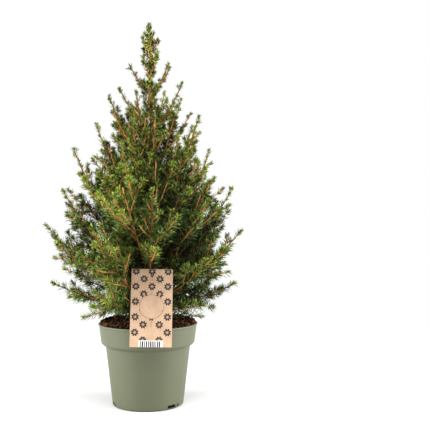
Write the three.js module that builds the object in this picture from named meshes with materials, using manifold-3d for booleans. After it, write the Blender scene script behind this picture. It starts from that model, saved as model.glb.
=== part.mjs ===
// A young dwarf spruce in a nursery pot, with a card label leaning on the rim.
// Millimetres, +Z up, +X to the right and -Y to the front. The origin is the middle of the pot's underside.
import * as THREE from "three";
import { mergeVertices } from "three/addons/utils/BufferGeometryUtils.js";
import Module from "manifold-3d";

const wasm = await Module();
wasm.setup();

// Driving dimensions

const clearance = 0.3; // between pieces that touch

const pot = {
  height: 154,
  lip: 94, // outer radius of the lip
  lipBead: 1.5, // how far the lip stands out of the band
  lipDepth: 3.4,
  lipRound: 0.8,
  band: 36, // height of the wide band under the lip
  bandFoot: 88.6, // outer radius at the band's lower edge
  step: 6.5, // height of the sloping step under the band
  stepOut: 5, // how far the step has come out, just under half way up
  bodyTop: 80.2, // outer radius just under the step
  foot: 67.4, // outer radius at the bottom
  footRound: 4,
  wall: 1.8,
  floor: 2.6,
  facets: 36,
};

// Drain slots in groups round the foot: a wide one and a narrow one beside it.
const drain = {
  groups: 3,
  firstAzimuth: -50,
  height: 5.5,
  sill: 3, // from the underside to the slot's lower edge
  wide: 19,
  narrow: 5,
  apart: 16, // from the wide slot's middle to the narrow one's
  cutDepth: 24,
};

const soil = {
  edge: 152.5, // height of the peat at the wall
  crown: 160, // height at the trunk's foot
  shoulder: 0.5, // below 1 the mound is fuller near the wall
  lumps: 2.6,
  seat: 13, // radius of the flat patch under the trunk
  offWall: 0.2, // how much further the lumpy top stays from the wall
  rings: 5,
  facets: 18, // half as many as the pot, so that its corners meet the pot's
};

const trunk = {
  top: 610, // where the leader begins
  footRadius: 7.6,
  flare: 4.2, // how much the root flare adds
  flareHeight: 16,
  topRadius: 2.1,
  taper: 0.85, // below 1 it thins faster near its foot
  bow: 6.5, // how far it bows to the right
  bowPeak: 0.58, // the share of the way up where it bows most
  bowSharp: 1.5,
  sides: 8,
  steps: 14,
  footSteps: 1.35, // above 1 the steps crowd towards the flare
};

const leader = { tip: 722, tipX: 1, twigShare: 0.5, firstTwig: 8 };

// One row for each tier of boughs: foot is the height on the trunk, reach and climb go from there to
// the furthest tip, turn is the first bough's azimuth from the right and step the next one's from it,
// bare is the share of the bough that has no foliage, and twigShare is a side twig's length beside the
// stretch of stem from it to the whip. Boughs with bare 0 are foliage from the trunk on.
const tierFields = ["name", "foot", "count", "reach", "climb", "turn", "step", "bare", "radius", "twigShare"];
const tierRows = [
  ["a", 172, 5, 172, 54, 0, 60, 0.25, 2.9, 0.9],
  ["b", 188, 5, 185, 148, -18, 64.5, 0.2, 3.2, 0.8],
  ["c", 208, 4, 168, 204, 6, 88, 0.2, 3.1, 0.75],
  ["front", 234, 1, 88, 245, -50, 0, 0.2, 2.9, 0.5],
  ["d", 240, 4, 147, 248, 37, 72, 0.18, 3, 0.65],
  ["e", 335, 5, 106, 206, -32, 71, 0, 2.4, 0.55],
  ["f", 425, 4, 81, 158, 44, 68, 0, 2.1, 0.5],
  ["g", 515, 4, 64, 90, -34, 98, 0, 1.8, 0.5],
  ["h", 582, 3, 40, 57, 35, 145, 0, 1.4, 0.5],
];
const tiers = tierRows.map((row) => Object.fromEntries(row.map((value, i) => [tierFields[i], value])));

const growth = {
  bendOut: 0.6, // a bough's bend, as shares of its reach and its climb
  bendUp: 0.4,
  unevenReach: 0.06,
  unevenTurn: 5, // degrees
  unevenFoot: 6,
  neck: 0.72, // a bough's radius where its foliage begins, as a share of that at its foot
  firstTwig: 7, // from the start of a bough's foliage to its first side twig
  firstTwigAtTrunk: 16, // the same where the foliage begins at the trunk
  twigGap: 19, // along a stem, from one side twig to the next
  twigLongest: 96,
  twigShortest: 16,
  freeTip: 40, // the stretch behind a tip that has no side twigs
  whip: 32, // the stretch behind a tip that side twigs don't grow beside
  twigLean: 42, // degrees between a twig and its stem
  twigFlat: 0.72, // how far twigs above and below the stem are pressed towards its sides
  twigLift: 0.1, // how far a twig's tip turns up, as a share of its length
  twigDraw: 0.12, // how far it is drawn along its stem, as a share of its length
  twigTurn: 137.5, // degrees round the stem, from one side twig to the next
};

const needle = {
  length: 22, // on a mass of the fullest length, and less on a shorter one
  fullest: 165,
  least: 0.45, // of that length, on the very shortest
  tipLength: 9, // at a shoot's tip
  lean: 50, // degrees between a needle and its shoot
  step: 27, // along the shoot, from one ring of needles to the next
  around: 3, // needles in a ring
  twist: 38, // degrees from one ring to the next
  coreStart: 2, // radius of a shoot's core at its foot
  coreThick: 4.6, // where it is thickest, towards its foot
  coreTip: 1.2,
};

// What a mass's twigs and needles keep clear of, and by how much.
const room = {
  otherMasses: 2.4,
  trunk: 1.6,
  soil: 5,
  card: 4.5,
};

const card = {
  width: 75,
  height: 141,
  thick: 0.8,
  corner: 1.6,
  leanBack: 16, // degrees
  tilt: 1.35, // degrees, its top to the right
  middle: 4.9, // to the right of the pot's middle
  belowLip: 30.5, // from the lip to its lower edge, along the card
  hole: 2.2,
  holeBelowTop: 13,
};

// Small helpers

const degrees = THREE.MathUtils.degToRad;
const up = new THREE.Vector3(0, 0, 1);

// A repeatable stream of numbers from 0 to 1.
function seededDraws(seed) {
  const modulus = 4294967296;
  let state = (seed * 2654435761) % modulus;
  return () => {
    state = (state * 1664525 + 1013904223) % modulus;
    return state / modulus;
  };
}

const between = (draw, low, high) => low + (high - low) * draw();

function solidOf(geometry) {
  const bare = geometry.clone();
  bare.deleteAttribute("normal");
  bare.deleteAttribute("uv");
  const merged = mergeVertices(bare, 1e-4);
  const corners = [];
  for (let i = 0; i < merged.index.count; i += 3) {
    const [a, b, c] = [0, 1, 2].map((k) => merged.index.getX(i + k));
    if (a !== b && b !== c && c !== a) corners.push(a, b, c);
  }
  return new wasm.Manifold(
    new wasm.Mesh({
      numProp: 3,
      vertProperties: new Float32Array(merged.attributes.position.array),
      triVerts: new Uint32Array(corners),
    }),
  );
}

function geometryOf(solid) {
  const mesh = solid.getMesh();
  const geometry = new THREE.BufferGeometry();
  geometry.setAttribute("position", new THREE.BufferAttribute(mesh.vertProperties, 3));
  geometry.setIndex(new THREE.BufferAttribute(mesh.triVerts, 1));
  geometry.computeVertexNormals();
  return geometry;
}

// The one outer body of a solid: sealed hollows are filled and loose scraps dropped.
function outerBody(solid) {
  return solid.decompose().reduce((best, body) => (body.volume() > best.volume() ? body : best));
}

const plant = new THREE.Group();

function addPiece(name, geometry, material) {
  const mesh = new THREE.Mesh(geometry, material);
  mesh.name = name;
  plant.add(mesh);
}

// Materials

const finish = (color, roughness) => new THREE.MeshStandardMaterial({ color, roughness, metalness: 0 });

const plastic = finish("#878d70", 0.5);
const peat = finish("#3a2417", 0.95);
const bark = finish("#8a6a4c", 0.85);
const youngBark = finish("#b06f3c", 0.75);
const needles = finish("#4c6a2b", 0.6);
const kraft = finish("#ecc9a4", 0.85);

// Pot and peat

function revolved(profile, facets) {
  const points = profile.map(([radius, height]) => new THREE.Vector2(radius, height));
  return new THREE.LatheGeometry(points, facets).rotateX(Math.PI / 2);
}

const bandFoot = pot.height - pot.band;
const bodyTop = bandFoot - pot.step;
const lipFoot = pot.height - pot.lipDepth;
const midStep = bodyTop + pot.step * 0.45;

const outerWall = [
  [pot.foot - pot.footRound, 0],
  [pot.foot - pot.footRound * 0.25, pot.footRound * 0.3],
  [pot.foot, pot.footRound],
  [pot.bodyTop, bodyTop],
  [pot.bodyTop + pot.stepOut, midStep],
  [pot.bandFoot, bandFoot],
  [pot.lip - pot.lipBead, lipFoot],
  [pot.lip, lipFoot + pot.lipRound],
  [pot.lip, pot.height - pot.lipRound],
  [pot.lip - pot.lipRound, pot.height],
];

const innerWall = [
  [pot.foot - pot.wall - pot.lipRound, pot.floor],
  [pot.foot - pot.wall, pot.footRound],
  [pot.bodyTop - pot.wall, bodyTop],
  [pot.bodyTop + pot.stepOut - pot.wall, midStep + pot.wall / 2],
  [pot.bandFoot - pot.wall, bandFoot + pot.wall / 2],
  [pot.lip - pot.lipBead - pot.wall, lipFoot],
  [pot.lip - pot.lipRound - pot.wall, pot.height],
];

function makePot() {
  const profile = [[0, 0], ...outerWall, ...innerWall.toReversed(), [0, pot.floor]];
  let body = solidOf(revolved(profile, pot.facets));
  for (let group = 0; group < drain.groups; group++) {
    const azimuth = drain.firstAzimuth + (group * 360) / drain.groups;
    for (const [width, aside] of [[drain.wide, 0], [drain.narrow, drain.apart]]) {
      const slot = new THREE.BoxGeometry(drain.cutDepth, width, drain.height)
        .translate(pot.foot, aside, drain.sill + drain.height / 2)
        .rotateZ(degrees(azimuth));
      body = body.subtract(solidOf(slot));
    }
  }
  addPiece("pot", geometryOf(body), plastic);
}

// How much the peat's top stands above its even mound.
function lump(x, y) {
  const humps = Math.sin(x * 0.21 + 1.3) * Math.cos(y * 0.17 - 0.4);
  const swell = Math.sin(x * 0.09 - y * 0.13);
  return soil.lumps * (humps + 0.6 * swell);
}

// The peat fills the pot, mounds towards the trunk and is flat under it.
function makeSoil() {
  const againstWall = innerWall.slice(0, 5).map(([radius, height]) => [radius - clearance, height]);
  againstWall[0][1] += clearance;
  const wallSlope = (pot.lip - pot.lipBead - pot.bandFoot) / (lipFoot - bandFoot);
  const edgeRadius = pot.bandFoot - pot.wall - clearance - soil.offWall + wallSlope * (soil.edge - bandFoot);
  const top = [];
  for (let ring = 0; ring <= soil.rings; ring++) {
    const share = ring / soil.rings;
    const radius = THREE.MathUtils.lerp(edgeRadius, soil.seat, share);
    const rise = Math.sin((share * Math.PI) / 2) ** soil.shoulder;
    top.push([radius, THREE.MathUtils.lerp(soil.edge, soil.crown, rise)]);
  }
  const profile = [[0, againstWall[0][1]], ...againstWall, ...top, [0, soil.crown]];
  const geometry = revolved(profile, soil.facets);
  const place = geometry.attributes.position;
  for (let i = 0; i < place.count; i++) {
    const [x, y, z] = [place.getX(i), place.getY(i), place.getZ(i)];
    const onMound = z > soil.edge + clearance && Math.hypot(x, y) > soil.seat + clearance;
    if (onMound) place.setZ(i, z + lump(x, y));
  }
  addPiece("soil", geometryOf(solidOf(geometry)), peat);
}

// Card label: its back leans on the pot's lip, and its foot hangs in front of the band.

const cardTurn = new THREE.Matrix4()
  .makeTranslation(card.middle, -pot.lip, pot.height)
  .multiply(new THREE.Matrix4().makeRotationX(degrees(90 - card.leanBack)))
  .multiply(new THREE.Matrix4().makeRotationZ(degrees(-card.tilt)));
const cardTurnBack = cardTurn.clone().invert();

function makeCard() {
  const [half, round] = [card.width / 2, card.corner];
  const [low, high] = [-card.belowLip, card.height - card.belowLip];
  const outline = new THREE.Shape()
    .moveTo(-half + round, low)
    .lineTo(half - round, low)
    .absarc(half - round, low + round, round, -Math.PI / 2, 0)
    .lineTo(half, high - round)
    .absarc(half - round, high - round, round, 0, Math.PI / 2)
    .lineTo(-half + round, high)
    .absarc(-half + round, high - round, round, Math.PI / 2, Math.PI)
    .lineTo(-half, low + round)
    .absarc(-half + round, low + round, round, Math.PI, 1.5 * Math.PI);
  outline.holes.push(new THREE.Path().absarc(0, high - card.holeBelowTop, card.hole, 0, 2 * Math.PI));
  const solid = { depth: card.thick, bevelEnabled: false, curveSegments: 4 };
  const sheet = new THREE.ExtrudeGeometry(outline, solid).applyMatrix4(cardTurn);
  addPiece("label_card", geometryOf(solidOf(sheet)), kraft);
}

// Limbs: a cylinder bent along a curve, with its radius given at each share of the way.

function limb(curve, radiusAt, sides, steps) {
  const geometry = new THREE.CylinderGeometry(1, 1, 1, sides, steps);
  const frames = curve.computeFrenetFrames(steps, false);
  const place = geometry.attributes.position;
  for (let i = 0; i < place.count; i++) {
    const share = place.getY(i) + 0.5;
    const station = Math.round(share * steps);
    const radius = radiusAt(share);
    const point = curve
      .getPointAt(share)
      .addScaledVector(frames.normals[station], place.getX(i) * radius)
      .addScaledVector(frames.binormals[station], -place.getZ(i) * radius);
    place.setXYZ(i, point.x, point.y, point.z);
  }
  return geometry;
}

function trunkX(height) {
  const share = (height - soil.crown) / (leader.tip - soil.crown);
  const bow = Math.sin((Math.PI / 2) * Math.min(2, share / trunk.bowPeak));
  return leader.tipX * share + trunk.bow * bow ** trunk.bowSharp;
}

const trunkPoint = (height) => new THREE.Vector3(trunkX(height), 0, height);

function trunkRadius(height) {
  const share = (height - soil.crown) / (trunk.top - soil.crown);
  const flare = trunk.flare * Math.exp(-(height - soil.crown) / trunk.flareHeight);
  return THREE.MathUtils.lerp(trunk.footRadius, trunk.topRadius, share ** trunk.taper) + flare;
}

// The trunk's middle line, with its steps crowded towards the flare.
class TrunkLine extends THREE.Curve {
  heightAt(share) {
    return THREE.MathUtils.lerp(soil.crown + clearance, trunk.top, share ** trunk.footSteps);
  }
  getPointAt(share) {
    return trunkPoint(this.heightAt(share));
  }
  computeFrenetFrames(steps) {
    const level = (x, y) => Array.from({ length: steps + 1 }, () => new THREE.Vector3(x, y, 0));
    return { normals: level(1, 0), binormals: level(0, 1) };
  }
}

function trunkSolid(extra) {
  const line = new TrunkLine();
  const radiusAt = (share) => trunkRadius(line.heightAt(share)) + extra;
  return solidOf(limb(line, radiusAt, trunk.sides, trunk.steps));
}

// Boughs: each is planned as one curve from the trunk's middle to its furthest tip.

function planBough(tier, row, i) {
  const draw = seededDraws(row * 10 + i + 1);
  const azimuth = degrees(tier.turn + i * tier.step + between(draw, -1, 1) * growth.unevenTurn);
  const stretch = 1 + between(draw, -1, 1) * growth.unevenReach;
  const foot = trunkPoint(tier.foot + between(draw, -1, 1) * growth.unevenFoot);
  const outward = new THREE.Vector3(Math.cos(azimuth), Math.sin(azimuth), 0);
  const span = outward.multiplyScalar(tier.reach * stretch);
  const rise = new THREE.Vector3(0, 0, tier.climb * stretch);
  const bend = foot.clone().addScaledVector(span, growth.bendOut).addScaledVector(rise, growth.bendUp);
  const tip = foot.clone().add(span).add(rise);
  const name = tier.count > 1 ? tier.name + (i + 1) : tier.name;
  return { ...tier, name, curve: new THREE.QuadraticBezierCurve3(foot, bend, tip), draw };
}

// The stretch of a curve between two shares of its way.
function stretchOf(curve, from, to) {
  const { v0, v1, v2 } = curve;
  const blossom = (s, t) =>
    v0
      .clone()
      .multiplyScalar((1 - s) * (1 - t))
      .addScaledVector(v1, s * (1 - t) + t * (1 - s))
      .addScaledVector(v2, s * t);
  return new THREE.QuadraticBezierCurve3(blossom(from, from), blossom(from, to), blossom(to, to));
}

// Each mass keeps to the space that lies nearer to its own line than to any other.

const tierBoughs = (tier, row) => Array.from({ length: tier.count }, (_, i) => planBough(tier, row, i));
const boughs = tiers.flatMap(tierBoughs);
const leaderCurve = new THREE.QuadraticBezierCurve3(
  trunkPoint(trunk.top + clearance),
  trunkPoint((trunk.top + leader.tip) / 2),
  trunkPoint(leader.tip),
);
const ownLines = new Map([
  ["trunk", [160, 220, 300, 380, 460, 540, trunk.top].map(trunkPoint)],
  ["leader", leaderCurve.getPoints(5)],
  ...boughs.map(({ name, curve }) => [name, curve.getPoints(9)]),
]);

const nearest = new THREE.Vector3();
function distanceToLine(point, points) {
  let least = Infinity;
  for (let i = 1; i < points.length; i++) {
    new THREE.Line3(points[i - 1], points[i]).closestPointToPoint(point, true, nearest);
    least = Math.min(least, nearest.distanceTo(point));
  }
  return least;
}

function hasRoom(point, name) {
  if (point.z < soil.crown + room.soil) return false;
  const onCard = point.clone().applyMatrix4(cardTurnBack);
  const besideCard =
    Math.abs(onCard.x) > card.width / 2 + room.card ||
    onCard.y > card.height - card.belowLip + room.card ||
    onCard.z < -room.card;
  if (!besideCard) return false;
  const trunkRoom = trunkRadius(Math.min(point.z, trunk.top)) + room.trunk;
  if (distanceToLine(point, ownLines.get("trunk")) < trunkRoom) return false;
  const reach = distanceToLine(point, ownLines.get(name)) + room.otherMasses;
  for (const [other, points] of ownLines) {
    if (other !== name && distanceToLine(point, points) < reach) return false;
  }
  return true;
}

// Shoots: a slim three-sided core, and a needle raised on each of its facets where there is room.

function coreRadius(share, foot) {
  const taper = THREE.MathUtils.lerp(foot, needle.coreTip, share);
  return taper + (needle.coreThick - needle.coreTip) * Math.sin(Math.PI * share ** 0.7);
}

function shoot(curve, coreFoot, name, scale) {
  const { around } = needle;
  const rings = Math.max(2, Math.round(curve.getLength() / needle.step));
  const frames = curve.computeFrenetFrames(rings, false);
  const places = [];
  const corners = [];
  const spoke = (ring, side) => {
    const angle = (2 * Math.PI * side) / around + degrees(needle.twist) * ring;
    return new THREE.Vector3()
      .addScaledVector(frames.normals[ring], Math.cos(angle))
      .addScaledVector(frames.binormals[ring], Math.sin(angle));
  };
  for (let ring = 0; ring <= rings; ring++) {
    const radius = coreRadius(ring / rings, coreFoot);
    for (let side = 0; side < around; side++)
      places.push(curve.getPointAt(ring / rings).addScaledVector(spoke(ring, side), radius));
  }
  for (let side = 1; side < around - 1; side++) corners.push(0, side + 1, side);
  for (let ring = 0; ring < rings; ring++) {
    const share = (ring + 0.5) / rings;
    const length = THREE.MathUtils.lerp(needle.length * scale, needle.tipLength, share ** 2);
    for (let side = 0; side < around; side++) {
      const next = (side + 1) % around;
      const [low, high] = [ring * around, (ring + 1) * around];
      const facet = [low + side, low + next, high + next, high + side];
      const outward = spoke(ring, side).add(spoke(ring, next)).add(spoke(ring + 1, side));
      const tip = new THREE.Vector3()
        .addVectors(places[facet[0]], places[facet[2]])
        .multiplyScalar(0.5)
        .addScaledVector(outward.normalize(), length * Math.sin(degrees(needle.lean)))
        .addScaledVector(frames.tangents[ring], length * Math.cos(degrees(needle.lean)));
      if (ring > 0 && hasRoom(tip, name)) {
        places.push(tip);
        facet.forEach((corner, i) => corners.push(corner, facet[(i + 1) % facet.length], places.length - 1));
      } else {
        corners.push(facet[0], facet[1], facet[2], facet[0], facet[2], facet[3]);
      }
    }
  }
  places.push(curve.getPointAt(1).addScaledVector(frames.tangents[rings], needle.tipLength * 0.6));
  for (let side = 0; side < around; side++) {
    const next = (side + 1) % around;
    corners.push(rings * around + side, rings * around + next, places.length - 1);
  }
  const geometry = new THREE.BufferGeometry().setFromPoints(places);
  geometry.setIndex(corners);
  return geometry;
}

// A side twig, cut short where it would leave its mass's space, or null where it would be a stub.
function sideTwig(stem, share, roll, length, name) {
  const start = stem.getPointAt(share);
  const along = stem.getTangentAt(share);
  const level = new THREE.Vector3().crossVectors(along, up);
  const side = level.lengthSq() > 0.01 ? level.normalize() : new THREE.Vector3(1, 0, 0);
  const over = new THREE.Vector3().crossVectors(side, along);
  const aside = side.multiplyScalar(Math.cos(roll)).addScaledVector(over, Math.sin(roll) * growth.twigFlat);
  const lean = degrees(growth.twigLean);
  const heading = aside.normalize().multiplyScalar(Math.sin(lean)).addScaledVector(along, Math.cos(lean));
  const bend = start.clone().addScaledVector(heading, length / 2);
  const tip = start.clone().addScaledVector(heading, length);
  tip.addScaledVector(along, length * growth.twigDraw).addScaledVector(up, length * growth.twigLift);
  const whole = new THREE.QuadraticBezierCurve3(start, bend, tip);
  const checks = 12;
  let free = 1;
  while (free < checks && hasRoom(whole.getPoint((free + 1) / checks), name)) free++;
  if ((free / checks) * length < growth.twigShortest) return null;
  return stretchOf(whole, 0, free / checks);
}

// One mass: its stem, and side twigs round it by the golden angle.
function foliage({ stem, name, draw, twigShare, neck, firstTwig }) {
  const length = stem.getLength();
  const scale = THREE.MathUtils.lerp(needle.least, 1, Math.min(1, length / needle.fullest));
  let mass = solidOf(shoot(stem, neck, name, scale));
  let roll = draw() * 2 * Math.PI;
  for (let way = firstTwig; way < length - growth.freeTip; way += growth.twigGap) {
    roll += degrees(growth.twigTurn);
    const ahead = length - way - growth.whip;
    const wanted = Math.min(growth.twigLongest, ahead * twigShare) * between(draw, 0.8, 1.15);
    const twig = sideTwig(stem, way / length, roll, Math.max(wanted, growth.twigShortest * 1.2), name);
    if (twig) mass = mass.add(solidOf(shoot(twig, needle.coreStart, name, scale)));
  }
  return mass;
}

function growBough({ name, curve, bare, radius, twigShare, draw }, aroundTrunk) {
  const neck = Math.max(radius * growth.neck, needle.coreStart);
  const atTrunk = bare === 0;
  if (!atTrunk) {
    const wood = limb(stretchOf(curve, 0, bare), (share) => THREE.MathUtils.lerp(radius, neck, share), 5, 3);
    addPiece("bough_" + name, geometryOf(outerBody(solidOf(wood).subtract(aroundTrunk))), youngBark);
  }
  const stem = stretchOf(curve, atTrunk ? 0 : bare + clearance / curve.getLength(), 1);
  const firstTwig = atTrunk ? growth.firstTwigAtTrunk : growth.firstTwig;
  const mass = foliage({ stem, name, draw, twigShare, neck, firstTwig });
  addPiece("foliage_" + name, geometryOf(outerBody(mass.subtract(aroundTrunk))), needles);
}

function growLeader() {
  const { twigShare, firstTwig } = leader;
  const draw = seededDraws(99);
  const neck = trunk.topRadius;
  const mass = foliage({ stem: leaderCurve, name: "leader", draw, twigShare, neck, firstTwig });
  addPiece("foliage_leader", geometryOf(outerBody(mass)), needles);
}

makePot();
makeSoil();
makeCard();
addPiece("trunk", geometryOf(trunkSolid(0)), bark);
const aroundTrunk = trunkSolid(clearance);
for (const bough of boughs) growBough(bough, aroundTrunk);
growLeader();

export default plant;
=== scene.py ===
# A young dwarf spruce in a nursery pot, with a card label that leans on the rim
import math
import bmesh
import bpy
import numpy as np
from mathutils import Matrix, Vector, noise


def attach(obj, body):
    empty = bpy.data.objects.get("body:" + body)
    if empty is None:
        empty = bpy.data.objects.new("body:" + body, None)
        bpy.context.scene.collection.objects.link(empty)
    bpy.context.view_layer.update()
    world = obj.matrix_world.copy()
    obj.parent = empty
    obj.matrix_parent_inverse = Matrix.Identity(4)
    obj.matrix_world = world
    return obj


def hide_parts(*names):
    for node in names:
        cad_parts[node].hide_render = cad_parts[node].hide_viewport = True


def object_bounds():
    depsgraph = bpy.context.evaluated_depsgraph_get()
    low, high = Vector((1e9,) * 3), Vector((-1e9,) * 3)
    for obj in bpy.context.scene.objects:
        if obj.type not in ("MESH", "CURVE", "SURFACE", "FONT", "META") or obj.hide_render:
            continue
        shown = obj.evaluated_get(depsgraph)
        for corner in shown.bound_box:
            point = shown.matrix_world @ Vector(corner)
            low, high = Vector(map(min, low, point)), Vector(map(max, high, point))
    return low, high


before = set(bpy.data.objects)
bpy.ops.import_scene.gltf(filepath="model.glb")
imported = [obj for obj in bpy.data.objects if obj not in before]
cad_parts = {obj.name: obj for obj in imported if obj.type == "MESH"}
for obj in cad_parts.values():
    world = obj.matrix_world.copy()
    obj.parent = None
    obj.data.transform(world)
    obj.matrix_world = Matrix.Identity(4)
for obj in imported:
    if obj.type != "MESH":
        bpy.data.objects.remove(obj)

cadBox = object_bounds()
nodeNames = sorted(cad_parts)
mm = 0.001  # sizes below are in millimetres, and each piece is scaled to metres when it is made
weld = 0.001  # corners nearer than this, in millimetres, are merged
up = np.array([0.0, 0.0, 1.0])


# colours and materials

def hexToLinear(code):
    channels = [int(code[i:i + 2], 16) / 255 for i in (1, 3, 5)]
    linear = [c / 12.92 if c <= 0.04045 else ((c + 0.055) / 1.055) ** 2.4 for c in channels]
    return (*linear, 1.0)


# a pattern's scale from its size in millimetres, as Object coordinates are in metres
def scaleFor(size):
    return 1 / (size * mm)


# inputs by name or number: a socket is linked, and anything else is a value
def setInputs(tree, node, inputs):
    for name, value in inputs.items():
        if isinstance(value, bpy.types.NodeSocket):
            tree.links.new(value, node.inputs[name])
        else:
            node.inputs[name].default_value = value


def addNode(tree, kind, settings={}, inputs={}):
    node = tree.nodes.new(kind)
    for name, value in settings.items():
        setattr(node, name, value)
    setInputs(tree, node, inputs)
    return node


def newMaterial(name):
    material = bpy.data.materials.new(name)
    material.use_nodes = True
    return material, material.node_tree, material.node_tree.nodes["Principled BSDF"]


def plainMaterial(name, colour, roughness, specular=0.3):
    material, tree, shader = newMaterial(name)
    setInputs(tree, shader, {
        "Base Color": hexToLinear(colour), "Roughness": roughness, "Specular IOR Level": specular})
    return material


# Injection-moulded polypropylene: an even body colour, a soft broad gloss and a barely uneven skin
def mouldedPlastic():
    material, tree, shader = newMaterial("moulded_polypropylene")
    place = addNode(tree, "ShaderNodeTexCoord").outputs["Object"]
    flow = addNode(tree, "ShaderNodeTexNoise", {}, {
        "Vector": place, "Scale": scaleFor(potLook["flowMark"]), "Detail": 3.0})
    grain = addNode(tree, "ShaderNodeTexNoise", {}, {
        "Vector": place, "Scale": scaleFor(potLook["grain"]), "Detail": 2.0})
    tone = addNode(tree, "ShaderNodeMix", {"data_type": "RGBA"}, {
        0: flow.outputs["Fac"], 6: hexToLinear(potLook["shade"]), 7: hexToLinear(potLook["light"])})
    glossy, dull = potLook["roughness"]
    gloss = addNode(tree, "ShaderNodeMapRange", {}, {
        "Value": flow.outputs["Fac"], "To Min": glossy, "To Max": dull})
    bump = addNode(tree, "ShaderNodeBump", {}, {
        "Height": grain.outputs["Fac"], "Strength": 0.12, "Distance": 0.4 * mm})
    setInputs(tree, shader, {
        "Base Color": tone.outputs[2], "Roughness": gloss.outputs["Result"], "Normal": bump.outputs["Normal"],
        "IOR": 1.49})
    return material


# Peat with composted bark: nearly black in its dark crumbs, and down in the pot as painted shade; reddish brown
# where fibres stand proud
def dampPeatWithPaintedShade():
    material, tree, shader = newMaterial("damp_peat_with_painted_shade")
    place = addNode(tree, "ShaderNodeTexCoord").outputs["Object"]
    crumbs = addNode(tree, "ShaderNodeTexNoise", {}, {
        "Vector": place, "Scale": scaleFor(peatLook["crumb"]), "Detail": 5.0, "Roughness": 0.65})
    patches = addNode(tree, "ShaderNodeTexNoise", {}, {
        "Vector": place, "Scale": scaleFor(peatLook["patch"]), "Detail": 2.0})
    mix = addNode(tree, "ShaderNodeMath", {"operation": "MULTIPLY_ADD"}, {
        0: crumbs.outputs["Fac"], 1: 0.75, 2: patches.outputs["Fac"]})
    # painted shade: the peat is darker down in the pot and takes its full colour towards the top
    height = addNode(tree, "ShaderNodeSeparateXYZ", {}, {"Vector": place})
    outOfPaintedShade = addNode(tree, "ShaderNodeMapRange", {}, {
        "Value": height.outputs["Z"], "From Min": peatLook["paintedShadeFullBelow"] * mm, "From Max": peatLook["paintedShadeNoneAbove"] * mm})
    peatToneUnderPaintedShade = addNode(tree, "ShaderNodeMath", {"operation": "MULTIPLY"}, {
        0: mix.outputs["Value"], 1: outOfPaintedShade.outputs["Result"]})
    ramp = addNode(tree, "ShaderNodeValToRGB", {}, {"Fac": peatToneUnderPaintedShade.outputs["Value"]})
    stops = ramp.color_ramp.elements
    stops.new(peatLook["stops"][1][0])
    for stop, (position, colour) in zip(stops, peatLook["stops"]):
        stop.position, stop.color = position, hexToLinear(colour)
    bump = addNode(tree, "ShaderNodeBump", {}, {
        "Height": crumbs.outputs["Fac"], "Strength": 0.9, "Distance": 1.6 * mm})
    setInputs(tree, shader, {
        "Base Color": ramp.outputs["Color"], "Normal": bump.outputs["Normal"], "Roughness": 0.95,
        "Specular IOR Level": 0.15})
    return material


# Spruce bark: thin scales with dark cracks between them, matt
def scalyBark(name, skin):
    material, tree, shader = newMaterial(name)
    crack, scale, face = map(hexToLinear, skin["colours"])
    place = addNode(tree, "ShaderNodeTexCoord").outputs["Object"]
    turned = addNode(tree, "ShaderNodeMapping", {}, {
        "Vector": place, "Scale": (1.0, 1.0, 1.0 / skin["stretch"])})
    flakes = addNode(tree, "ShaderNodeTexVoronoi", {"feature": "DISTANCE_TO_EDGE"}, {
        "Vector": turned.outputs["Vector"], "Scale": scaleFor(skin["flake"])})
    blotch = addNode(tree, "ShaderNodeTexNoise", {}, {
        "Vector": turned.outputs["Vector"], "Scale": scaleFor(bark["blotch"]), "Detail": 4.0})
    edge = addNode(tree, "ShaderNodeMapRange", {}, {"Value": flakes.outputs["Distance"], "From Max": 0.16})
    scaleTone = addNode(tree, "ShaderNodeMix", {"data_type": "RGBA"}, {
        0: blotch.outputs["Fac"], 6: scale, 7: face})
    tone = addNode(tree, "ShaderNodeMix", {"data_type": "RGBA"}, {
        0: edge.outputs["Result"], 6: crack, 7: scaleTone.outputs[2]})
    bump = addNode(tree, "ShaderNodeBump", {}, {
        "Height": edge.outputs["Result"], "Strength": 0.7, "Distance": 0.5 * mm})
    setInputs(tree, shader, {
        "Base Color": tone.outputs[2], "Normal": bump.outputs["Normal"], "Roughness": 0.82,
        "Specular IOR Level": 0.2})
    return material


# Kraft card: pressed wood fibre, warm tan with faint darker fibres and no gloss
def kraftCard():
    material, tree, shader = newMaterial("kraft_card")
    place = addNode(tree, "ShaderNodeTexCoord").outputs["Object"]
    laid = addNode(tree, "ShaderNodeMapping", {}, {"Vector": place, "Scale": (1.0, 0.3, 0.2)})
    fibres = addNode(tree, "ShaderNodeTexNoise", {}, {
        "Vector": laid.outputs["Vector"], "Scale": scaleFor(cardLook["fibreWide"]), "Detail": 3.0})
    clouds = addNode(tree, "ShaderNodeTexNoise", {}, {
        "Vector": place, "Scale": scaleFor(cardLook["cloud"]), "Detail": 2.0})
    mix = addNode(tree, "ShaderNodeMath", {"operation": "MULTIPLY"}, {
        0: fibres.outputs["Fac"], 1: clouds.outputs["Fac"]})
    reach = addNode(tree, "ShaderNodeMapRange", {}, {
        "Value": mix.outputs["Value"], "From Min": 0.1, "From Max": 0.42})
    tone = addNode(tree, "ShaderNodeMix", {"data_type": "RGBA"}, {
        0: reach.outputs["Result"], 6: hexToLinear(cardLook["fibre"]), 7: hexToLinear(cardLook["kraft"])})
    setInputs(tree, shader, {"Base Color": tone.outputs[2], "Roughness": 0.8, "Specular IOR Level": 0.2})
    return material


# seeded draws, as in the source

def seededDraws(seed):
    modulus = 4294967296
    state = (seed * 2654435761) % modulus

    def draw():
        nonlocal state
        state = (state * 1664525 + 1013904223) % modulus
        return state / modulus

    return draw


def between(draw, low, high):
    return low + (high - low) * draw()


# making pieces

def addObject(name, data):
    item = bpy.data.objects.new(name, data)
    bpy.context.scene.collection.objects.link(item)
    return item


def placePiece(mesh, name, material, nodes=()):
    piece = addObject(name, mesh)
    mesh.materials.append(material)
    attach(piece, "root")
    if nodes:
        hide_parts(*nodes)
    return piece


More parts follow.
